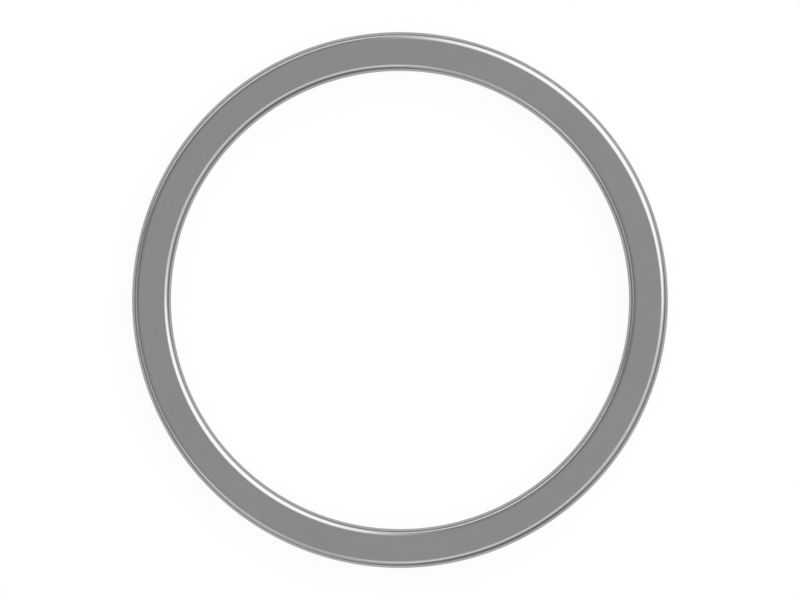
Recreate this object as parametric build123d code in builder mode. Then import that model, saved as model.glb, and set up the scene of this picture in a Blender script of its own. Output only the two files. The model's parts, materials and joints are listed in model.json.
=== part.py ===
from build123d import *
import os

# Rectangular seal ring: one closed turned ring, rectangular in section, with its four edges rounded.
# Millimetres. The ring lies on XY with its axis on +Z, and the origin is the centre of its lower face.

# Bore, which goes over a shaft or spigot
inside_diameter = 62.87
# Section across the ring, from the bore to the outside
radial_width = 5.33
# Section along the axis, from the lower sealing face to the upper one
axial_thickness = 4.00
# Rounding of each edge of the section, the same at the bore and at the outside
corner_radius = 1.08

# Middle of the section, measured from the axis and from the lower face
section_middle = ((inside_diameter + radial_width) / 2, axial_thickness / 2)

with BuildPart() as seal_ring:
    with BuildSketch(Plane.XZ) as section:
        with Locations(section_middle):
            Rectangle(radial_width, axial_thickness)
        fillet(section.vertices(), radius=corner_radius)
    revolve(axis=Axis.Z)

seal_ring.part.label = "seal_ring"

os.makedirs("parts", exist_ok=True)
export_step(seal_ring.part, "parts/seal_ring.step")
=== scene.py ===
"""Rectangular seal ring: one closed ring, turned in satin grey metal, lying on a white studio floor.

The ring is swept by a Geometry Nodes tree from its rounded rectangular section, at the sizes of the
fixed frame. Lengths are in metres. The ring's axis is +Z, and the origin is in the middle of its lower
face.
"""

import json
import math

import bpy
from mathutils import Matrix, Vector


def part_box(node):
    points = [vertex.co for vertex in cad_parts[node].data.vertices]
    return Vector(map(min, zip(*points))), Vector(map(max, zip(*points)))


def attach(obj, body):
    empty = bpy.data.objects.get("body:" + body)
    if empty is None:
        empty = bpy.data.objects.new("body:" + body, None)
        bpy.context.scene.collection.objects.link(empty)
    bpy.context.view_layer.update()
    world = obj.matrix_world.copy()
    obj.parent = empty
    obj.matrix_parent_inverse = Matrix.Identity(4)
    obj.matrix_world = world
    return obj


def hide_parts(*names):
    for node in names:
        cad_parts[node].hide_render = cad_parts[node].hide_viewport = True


bl_info = {
    "name": "Rectangular Seal Ring",
    "version": (1, 0, 0),
    "blender": (4, 5, 0),
    "location": "3D View > Sidebar > Seal Ring",
    "description": "Makes a turned metal seal ring of rounded rectangular section, and a white studio for it",
    "category": "Mesh",
}

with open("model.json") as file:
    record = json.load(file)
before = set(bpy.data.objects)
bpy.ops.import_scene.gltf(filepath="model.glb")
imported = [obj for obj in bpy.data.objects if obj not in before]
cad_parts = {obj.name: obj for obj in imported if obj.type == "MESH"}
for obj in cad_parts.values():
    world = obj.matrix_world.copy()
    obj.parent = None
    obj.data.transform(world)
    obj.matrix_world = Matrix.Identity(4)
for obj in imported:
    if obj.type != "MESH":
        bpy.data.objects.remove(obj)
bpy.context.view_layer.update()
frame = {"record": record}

RING_NODE = "seal_ring"
MM = 0.001


def framed_ring():
    """Bore radius, outside radius, heights of both faces and length of the straight wall, in metres."""
    mounts = {mount["name"]: mount for mount in frame["record"]["mounts"]}
    low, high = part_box(RING_NODE)
    bore = mounts["bore"]["dims"]
    outside = mounts["outside"]["dims"]
    return bore["r_mm"] * MM, outside["r_mm"] * MM, low.z, high.z, bore["length_mm"] * MM


bore_radius, outside_radius, lower_face, upper_face, straight_wall = framed_ring()


class RingSizes(bpy.types.PropertyGroup):
    """Sizes of the ring, which start at those of the frame."""

    bore_diameter: bpy.props.FloatProperty(
        name="Bore diameter",
        description="Diameter of the hole that goes over the shaft or spigot",
        default=2 * bore_radius,
        min=0.001,
        precision=5,
        unit="LENGTH",
    )
    radial_width: bpy.props.FloatProperty(
        name="Radial width",
        description="Width of the section, from the bore to the outside",
        default=outside_radius - bore_radius,
        min=0.0001,
        precision=5,
        unit="LENGTH",
    )
    axial_thickness: bpy.props.FloatProperty(
        name="Axial thickness",
        description="Height of the section, from the lower sealing face to the upper one",
        default=upper_face - lower_face,
        min=0.0001,
        precision=5,
        unit="LENGTH",
    )
    corner_radius: bpy.props.FloatProperty(
        name="Corner radius",
        description="Rounding of the four edges of the section",
        default=(upper_face - lower_face - straight_wall) / 2,
        min=0.00001,
        precision=5,
        unit="LENGTH",
    )
    steps_around: bpy.props.IntProperty(
        name="Steps around",
        description="Straight steps in one turn of the ring",
        default=320,
        min=12,
        max=1024,
    )
    steps_in_corner: bpy.props.IntProperty(
        name="Steps in a corner",
        description="Straight steps in each rounded edge of the section",
        default=20,
        min=2,
        max=64,
    )


class RingFinish(bpy.types.PropertyGroup):
    """Colour and surface of the metal."""

    metal_colour: bpy.props.FloatVectorProperty(
        name="Metal colour",
        description="Reflecting colour of the bare metal",
        default=(0.40, 0.40, 0.40),
        min=0.0,
        max=1.0,
        size=3,
        subtype="COLOR",
    )
    edge_tint: bpy.props.FloatVectorProperty(
        name="Edge tint",
        description="Tint of the reflections where the metal is seen nearly edge on",
        default=(0.7, 0.7, 0.7),
        min=0.0,
        max=1.0,
        size=3,
        subtype="COLOR",
    )
    roughness: bpy.props.FloatProperty(
        name="Roughness",
        description="Spread of the reflections of the satin surface",
        default=0.22,
        min=0.0,
        max=1.0,
        subtype="FACTOR",
    )
    lay_pitch: bpy.props.FloatProperty(
        name="Lay pitch",
        description="Usual distance between the fine marks that turning leaves round the ring",
        default=0.00030,
        min=0.00001,
        precision=6,
        unit="LENGTH",
    )
    lay_depth: bpy.props.FloatProperty(
        name="Lay depth",
        description="Height of the turning marks",
        default=0.0000007,
        min=0.0,
        precision=8,
        unit="LENGTH",
    )
    patch_size: bpy.props.FloatProperty(
        name="Patch size",
        description="Size of the faint patches in the tone and the gloss of the metal",
        default=0.009,
        min=0.0001,
        precision=4,
        unit="LENGTH",
    )
    grain_size: bpy.props.FloatProperty(
        name="Grain size",
        description="Size of the fine grain in the gloss of the metal",
        default=0.00035,
        min=0.00001,
        precision=6,
        unit="LENGTH",
    )


class StudioSettings(bpy.types.PropertyGroup):
    """Floor, surroundings, lamps and camera."""

    floor_colour: bpy.props.FloatVectorProperty(
        name="Floor colour",
        description="Colour of the floor round the ring",
        default=(0.95, 0.95, 0.95),
        min=0.0,
        max=1.0,
        size=3,
        subtype="COLOR",
    )
    floor_glow: bpy.props.FloatProperty(
        name="Floor glow",
        description="Share of the floor that shows its plain tone; the rest takes the ring's shadow",
        default=0.94,
        min=0.0,
        max=1.0,
        subtype="FACTOR",
    )
    # Tone at which the floor's painted pool of light ends, far from the ring
    painted_pool_far_tone: bpy.props.FloatProperty(
        name="Far floor tone",
        description="Tone to which the white of the floor fades outside the camera's view",
        default=0.3,
        min=0.0,
        max=1.0,
    )
    horizon_tone: bpy.props.FloatProperty(
        name="Horizon tone",
        description="Brightness of the surroundings at the horizon",
        default=0.3,
        min=0.0,
        max=1.0,
    )
    overhead_tone: bpy.props.FloatProperty(
        name="Overhead tone",
        description="Brightness of the surroundings straight overhead",
        default=0.6,
        min=0.0,
        max=1.0,
    )
    lens: bpy.props.FloatProperty(
        name="Lens",
        description="Focal length of the camera, long enough to see hardly anything of the bore's wall",
        default=1000.0,
        min=50.0,
        unit="CAMERA",
    )


class Wire:
    """A number in a node tree. Python's operators on it add the Math nodes that work the sum out."""

    def __init__(self, graph, socket):
        self.graph = graph
        self.socket = socket

    def sum(self, operation, first, second):
        """The output of one Math node."""
        made = self.graph.node("ShaderNodeMath", {"operation": operation}, {0: first, 1: second})
        return Wire(self.graph, made.outputs["Value"])

    def __add__(self, other):
        return self.sum("ADD", self, other)

    def __radd__(self, other):
        return self.sum("ADD", other, self)

    def __sub__(self, other):
        return self.sum("SUBTRACT", self, other)

    def __rsub__(self, other):
        return self.sum("SUBTRACT", other, self)

    def __mul__(self, other):
        return self.sum("MULTIPLY", self, other)

    def __rmul__(self, other):
        return self.sum("MULTIPLY", other, self)

    def __truediv__(self, other):
        return self.sum("DIVIDE", self, other)

    def __rtruediv__(self, other):
        return self.sum("DIVIDE", other, self)

    def __pow__(self, other):
        return self.sum("POWER", self, other)

    def __neg__(self):
        return self.sum("SUBTRACT", 0.0, self)

    def at_least(self, other):
        """The larger of the two."""
        return self.sum("MAXIMUM", self, other)

    def at_most(self, other):
        """The smaller of the two."""
        return self.sum("MINIMUM", self, other)


class Graph:
    """A node tree, and the one method that adds nodes to it."""

    def __init__(self, tree):
        self.tree = tree
        tree.nodes.clear()

    def node(self, kind, settings=None, sockets=None):
        """A new node of this type, with its settings set first and then its sockets' values or links."""
        made = self.tree.nodes.new(kind)
        for name, value in (settings or {}).items():
            setattr(made, name, value)
        for key, value in (sockets or {}).items():
            source = value.socket if isinstance(value, Wire) else value
            if isinstance(source, bpy.types.NodeSocket):
                self.tree.links.new(source, made.inputs[key])
            else:
                made.inputs[key].default_value = source
        return made

    def wire(self, node, output=0):
        """A node's output as a number that Python's operators take."""
        return Wire(self, node.outputs[output])

    def split(self, vector):
        """The three parts of a vector."""
        parts = self.node("ShaderNodeSeparateXYZ", sockets={0: vector})
        return [self.wire(parts, axis) for axis in "XYZ"]

    def joined(self, x, y, z):
        """A vector made of three numbers."""
        return self.node("ShaderNodeCombineXYZ", sockets={"X": x, "Y": y, "Z": z}).outputs["Vector"]


def ring_tree():
    """The Geometry Nodes tree that sweeps the rounded rectangular section round the axis."""
    tree = bpy.data.node_groups.new("seal_ring_sweep", "GeometryNodeTree")
    inputs = (
        ("Bore Diameter", "NodeSocketFloat"),
        ("Radial Width", "NodeSocketFloat"),
        ("Axial Thickness", "NodeSocketFloat"),
        ("Corner Radius", "NodeSocketFloat"),
        ("Steps Around", "NodeSocketInt"),
        ("Steps in Corner", "NodeSocketInt"),
        ("Metal", "NodeSocketMaterial"),
    )
    for name, kind in inputs:
        tree.interface.new_socket(name, in_out="INPUT", socket_type=kind)
    tree.interface.new_socket("Ring", in_out="OUTPUT", socket_type="NodeSocketGeometry")

    graph = Graph(tree)
    given = graph.node("NodeGroupInput")
    bore = graph.wire(given, "Bore Diameter")
    width = graph.wire(given, "Radial Width")
    thickness = graph.wire(given, "Axial Thickness")
    corner = graph.wire(given, "Corner Radius")
    middle_radius = (bore + width) / 2
    middle_height = thickness / 2

    rectangle = graph.node(
        "GeometryNodeCurvePrimitiveQuadrilateral",
        sockets={"Width": width, "Height": thickness},
    )
    section = graph.node(
        "GeometryNodeFilletCurve",
        {"mode": "POLY"},
        {
            "Curve": rectangle.outputs["Curve"],
            "Count": given.outputs["Steps in Corner"],
            "Radius": corner,
            "Limit Radius": True,
        },
    )
    circle = graph.node(
        "GeometryNodeCurvePrimitiveCircle",
        {"mode": "RADIUS"},
        {"Resolution": given.outputs["Steps Around"], "Radius": middle_radius},
    )
    upright = graph.node("GeometryNodeSetCurveNormal", {"mode": "Z_UP"}, {"Curve": circle.outputs["Curve"]})
    swept = graph.node(
        "GeometryNodeCurveToMesh",
        sockets={"Curve": upright.outputs["Curve"], "Profile Curve": section.outputs["Curve"]},
    )
    lifted = graph.node(
        "GeometryNodeTransform",
        sockets={"Geometry": swept.outputs["Mesh"], "Translation": graph.joined(0.0, 0.0, middle_height)},
    )
    smooth = graph.node("GeometryNodeSetShadeSmooth", sockets={"Geometry": lifted.outputs["Geometry"]})

    x, y, z = graph.split(graph.node("GeometryNodeInputPosition").outputs["Position"])
    radius = (x * x + y * y) ** 0.5
    outward = past_flat(radius - middle_radius, width / 2 - corner)
    upward = past_flat(z - middle_height, thickness / 2 - corner)
    facing = graph.node(
        "ShaderNodeVectorMath",
        {"operation": "NORMALIZE"},
        {0: graph.joined(outward * x / radius, outward * y / radius, upward)},
    )
    shaded = graph.node(
        "GeometryNodeSetMeshNormal",
        {"mode": "FREE", "domain": "POINT"},
        {"Mesh": smooth.outputs["Geometry"], "Custom Normal": facing.outputs["Vector"]},
    )
    real = graph.node("GeometryNodeRealizeInstances", sockets={"Geometry": shaded.outputs["Mesh"]})
    metal = graph.node(
        "GeometryNodeSetMaterial",
        sockets={"Geometry": real.outputs["Geometry"], "Material": given.outputs["Metal"]},
    )
    graph.node("NodeGroupOutput", sockets={"Ring": metal.outputs["Geometry"]})
    return tree


def past_flat(offset, half_flat):
    """How far a point of the section lies past the end of its flat, which is nothing on the flat itself."""
    return offset - offset.at_least(-half_flat).at_most(half_flat)


def set_input(modifier, name, value):
    """Sets a Geometry Nodes modifier's input by its socket's identifier."""
    sockets = modifier.node_group.interface.items_tree
    identifier = next(s.identifier for s in sockets if s.name == name and s.in_out == "INPUT")
    modifier[identifier] = value


# How far the metal's faint patches, turning marks and grain change its tone, as a share, and its roughness
PATCH_TONE = 0.05
PATCH_ROUGHNESS = 0.05
MARK_TONE = 0.06
MARK_ROUGHNESS = 0.08
GRAIN_ROUGHNESS = 0.02


def ring_metal(finish):
    """Satin grey metal, with fine turning marks round the ring, faint patches and a fine grain."""
    material = bpy.data.materials.new("satin_ring_metal")
    material.use_nodes = True
    graph = Graph(material.node_tree)
    place = graph.node("ShaderNodeTexCoord").outputs["Object"]
    x, y, z = graph.split(place)
    radius = (x * x + y * y) ** 0.5

    turned = graph.joined(radius / finish.lay_pitch, z / finish.lay_pitch, 0.0)
    marks = noise(graph, turned, detail=3.0, roughness=0.6)
    patches = noise(graph, scaled(graph, place, 1 / finish.patch_size), detail=3.0, roughness=0.5)
    grain = noise(graph, scaled(graph, place, 1 / finish.grain_size), detail=2.0, roughness=0.5)

    tone = 1 + patches * PATCH_TONE + marks * MARK_TONE
    roughness = (
        finish.roughness
        + patches * PATCH_ROUGHNESS
        + marks * MARK_ROUGHNESS
        + grain * GRAIN_ROUGHNESS
    )
    raised = graph.node("ShaderNodeBump", sockets={"Distance": finish.lay_depth, "Height": marks})
    metal = graph.node(
        "ShaderNodeBsdfPrincipled",
        sockets={
            "Base Color": scaled(graph, tuple(finish.metal_colour), tone),
            "Metallic": 1.0,
            "Specular Tint": (*finish.edge_tint, 1.0),
            "Roughness": roughness,
            "Normal": raised.outputs["Normal"],
        },
    )
    graph.node("ShaderNodeOutputMaterial", sockets={"Surface": metal.outputs["BSDF"]})
    return material


def noise(graph, place, detail, roughness):
    """Noise of unit size, from about -0.5 to 0.5."""
    made = graph.node(
        "ShaderNodeTexNoise",
        {"noise_dimensions": "3D"},
        {"Vector": place, "Scale": 1.0, "Detail": detail, "Roughness": roughness},
    )
    return graph.wire(made, "Fac") - 0.5


def scaled(graph, vector, factor):
    """A vector or a colour times a number."""
    made = graph.node("ShaderNodeVectorMath", {"operation": "SCALE"}, {0: vector, "Scale": factor})
    return made.outputs["Vector"]


class SEALRING_OT_turn_ring(bpy.types.Operator):
    """Make the seal ring from its section"""

    bl_idname = "seal_ring.turn_ring"
    bl_label = "Turn Ring"

    def execute(self, context):
        sizes = context.scene.seal_ring_sizes
        ring = bpy.data.objects.new("turned_seal_ring", bpy.data.meshes.new("turned_seal_ring"))
        context.scene.collection.objects.link(ring)
        sweep = ring.modifiers.new("sweep", "NODES")
        sweep.node_group = ring_tree()
        set_input(sweep, "Bore Diameter", sizes.bore_diameter)
        set_input(sweep, "Radial Width", sizes.radial_width)
        set_input(sweep, "Axial Thickness", sizes.axial_thickness)
        set_input(sweep, "Corner Radius", sizes.corner_radius)
        set_input(sweep, "Steps Around", sizes.steps_around)
        set_input(sweep, "Steps in Corner", sizes.steps_in_corner)
        set_input(sweep, "Metal", ring_metal(context.scene.seal_ring_finish))
        make_plain(ring)
        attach(ring, "root")
        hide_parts(RING_NODE)
        return {"FINISHED"}


def make_plain(piece):
    """Turns what the piece's modifiers make into its own mesh, and removes them."""
    depsgraph = bpy.context.evaluated_depsgraph_get()
    mesh = bpy.data.meshes.new_from_object(piece.evaluated_get(depsgraph), depsgraph=depsgraph)
    piece.modifiers.clear()
    piece.data = mesh


# Softboxes: azimuth from +X towards +Y, angle from overhead, and half their width and half their height as
# seen from the ring, all in degrees, and then brightness, where 1 is as bright as white
SOFTBOXES = (
    ("key", 40, 50, 35, 30, 1.1),
    ("key_core", 45, 45, 30, 30, 1.0),
    ("left_fill", 120, 60, 40, 10, 1.5),
    ("front_left_fill", 205, 55, 35, 10, 0.7),
    ("front_fill", 245, 50, 25, 25, 0.6),
    ("right_fill", 315, 30, 30, 15, 1.0),
    ("low_right_fill", 335, 55, 20, 10, 0.6),
)
SOFTBOX_DISTANCE = 3.0


def add_softbox(context, name, azimuth, from_overhead, half_width, half_height, brightness):
    """An oval area lamp that faces the ring."""
    turn = math.radians(azimuth)
    tilt = math.radians(from_overhead)
    towards = Vector((math.cos(turn) * math.sin(tilt), math.sin(turn) * math.sin(tilt), math.cos(tilt)))
    lamp = bpy.data.lights.new(name, "AREA")
    lamp.shape = "ELLIPSE"
    lamp.size = 2 * SOFTBOX_DISTANCE * math.tan(math.radians(half_width))
    lamp.size_y = 2 * SOFTBOX_DISTANCE * math.tan(math.radians(half_height))
    area = math.pi / 4 * lamp.size * lamp.size_y
    lamp.energy = brightness * math.pi * area
    softbox = bpy.data.objects.new(name, lamp)
    softbox.location = towards * SOFTBOX_DISTANCE
    softbox.rotation_euler = towards.to_track_quat("Z", "Y").to_euler()
    softbox.visible_camera = False
    context.scene.collection.objects.link(softbox)


# Distances from the axis over which the floor's painted pool of light fades from white to its far tone, out
# of view
POOL_FADE_START = 0.072
POOL_FADE_END = 0.600

# Half the width of the floor, and how far it lies under the ring's lower face
FLOOR_HALF = 6.0
FLOOR_GAP = 0.00001
WHITE = (1.0, 1.0, 1.0, 1.0)


def painted_light_pool(graph, studio):
    """Glow of the floor, a painted pool of light: white as far as the camera sees, and grey farther away."""
    x, y, _ = graph.split(graph.node("ShaderNodeTexCoord").outputs["Object"])
    made = graph.node(
        "ShaderNodeMapRange",
        {"interpolation_type": "SMOOTHSTEP", "clamp": True},
        {
            "Value": (x * x + y * y) ** 0.5,
            "From Min": POOL_FADE_START,
            "From Max": POOL_FADE_END,
            "To Min": 1.0,
            "To Max": studio.painted_pool_far_tone,
        },
    )
    return graph.wire(made, "Result")


def floor_material(studio):
    """Floor that mostly shows its glow, a painted pool of light, and for the rest takes the ring's shadow."""
    material = bpy.data.materials.new("white_floor")
    material.use_nodes = True
    graph = Graph(material.node_tree)
    path = graph.node("ShaderNodeLightPath")
    in_metal = graph.wire(path, "Is Glossy Ray").at_least(graph.wire(path, "Is Transmission Ray"))
    seen = graph.wire(path, "Is Camera Ray").at_least(in_metal)
    # The floor's glow is a painted pool of light: white near the ring, fading to grey far away
    glow = graph.node("ShaderNodeEmission", sockets={"Color": WHITE, "Strength": painted_light_pool(graph, studio)})
    paint = graph.node("ShaderNodeBsdfDiffuse", sockets={"Color": (*studio.floor_colour, 1.0)})
    mixed = graph.node(
        "ShaderNodeMixShader",
        sockets={"Fac": seen * studio.floor_glow, 1: paint.outputs["BSDF"], 2: glow.outputs["Emission"]},
    )
    graph.node("ShaderNodeOutputMaterial", sockets={"Surface": mixed.outputs["Shader"]})
    return material


def add_floor(context, studio):
    """A wide plain floor just under the ring's lower face."""
    height = lower_face - FLOOR_GAP
    corners = [(-1, -1), (1, -1), (1, 1), (-1, 1)]
    mesh = bpy.data.meshes.new("studio_floor")
    mesh.from_pydata([(x * FLOOR_HALF, y * FLOOR_HALF, height) for x, y in corners], [], [(0, 1, 2, 3)])
    mesh.materials.append(floor_material(studio))
    floor = bpy.data.objects.new("studio_floor", mesh)
    context.scene.collection.objects.link(floor)


# Power of the height above the horizon by which the surroundings brighten, so that they stay dark low down
BRIGHTENING = 8.0


def set_world(context, studio):
    """Surroundings that are grey at the horizon and bright overhead."""
    world = bpy.data.worlds.new("studio_surroundings")
    context.scene.world = world
    world.use_nodes = True
    graph = Graph(world.node_tree)
    _, _, z = graph.split(graph.node("ShaderNodeTexCoord").outputs["Generated"])
    tone = studio.horizon_tone + (studio.overhead_tone - studio.horizon_tone) * z.at_least(0.0) ** BRIGHTENING
    background = graph.node("ShaderNodeBackground", sockets={"Color": WHITE, "Strength": tone})
    graph.node("ShaderNodeOutputWorld", sockets={"Surface": background.outputs["Background"]})


# Width of the photograph, and radius of the ring's outside edge in it
PHOTO_WIDTH_PX = 800
PHOTO_OUTSIDE_RADIUS_PX = 267.95


def add_camera(context, studio):
    """A long-lens camera that looks straight down on the ring, at the size that the photograph shows."""
    sizes = context.scene.seal_ring_sizes
    lens = bpy.data.cameras.new("camera")
    lens.lens = studio.lens
    focal_px = lens.lens / lens.sensor_width * PHOTO_WIDTH_PX
    widest = sizes.bore_diameter / 2 + sizes.radial_width
    above_widest = widest * focal_px / PHOTO_OUTSIDE_RADIUS_PX
    camera = bpy.data.objects.new("camera", lens)
    camera.location = (0.0, 0.0, upper_face - sizes.corner_radius + above_widest)
    context.scene.collection.objects.link(camera)
    context.scene.camera = camera


class SEALRING_OT_stage(bpy.types.Operator):
    """Add the floor, the surroundings, the lamps and the camera"""

    bl_idname = "seal_ring.stage"
    bl_label = "Add Studio"

    def execute(self, context):
        studio = context.scene.seal_ring_studio
        context.scene.view_settings.view_transform = "Standard"
        add_floor(context, studio)
        set_world(context, studio)
        for softbox in SOFTBOXES:
            add_softbox(context, *softbox)
        add_camera(context, studio)
        return {"FINISHED"}


class SEALRING_PT_sidebar(bpy.types.Panel):
    """Sizes, finish and studio of the seal ring"""

    bl_idname = "SEALRING_PT_sidebar"
    bl_label = "Seal Ring"
    bl_space_type = "VIEW_3D"
    bl_region_type = "UI"
    bl_category = "Seal Ring"

    def draw(self, context):
        scene = context.scene
        for group in (scene.seal_ring_sizes, scene.seal_ring_finish, scene.seal_ring_studio):
            box = self.layout.box()
            for name in group.bl_rna.properties.keys():
                if name not in ("rna_type", "name"):
                    box.prop(group, name)
        self.layout.operator(SEALRING_OT_turn_ring.bl_idname)
        self.layout.operator(SEALRING_OT_stage.bl_idname)


CLASSES = (
    RingSizes,
    RingFinish,
    StudioSettings,
    SEALRING_OT_turn_ring,
    SEALRING_OT_stage,
    SEALRING_PT_sidebar,
)


def register():
    """Adds the classes and the scene's settings."""
    for one in CLASSES:
        bpy.utils.register_class(one)
    bpy.types.Scene.seal_ring_sizes = bpy.props.PointerProperty(type=RingSizes)
    bpy.types.Scene.seal_ring_finish = bpy.props.PointerProperty(type=RingFinish)
    bpy.types.Scene.seal_ring_studio = bpy.props.PointerProperty(type=StudioSettings)


def unregister():
    """Takes the scene's settings and the classes away again."""
    del bpy.types.Scene.seal_ring_studio
    del bpy.types.Scene.seal_ring_finish
    del bpy.types.Scene.seal_ring_sizes
    for one in reversed(CLASSES):
        bpy.utils.unregister_class(one)


def main():
    """Makes the ring and the studio."""
    register()
    bpy.ops.seal_ring.turn_ring()
    bpy.ops.seal_ring.stage()


if __name__ == "__main__":
    main()
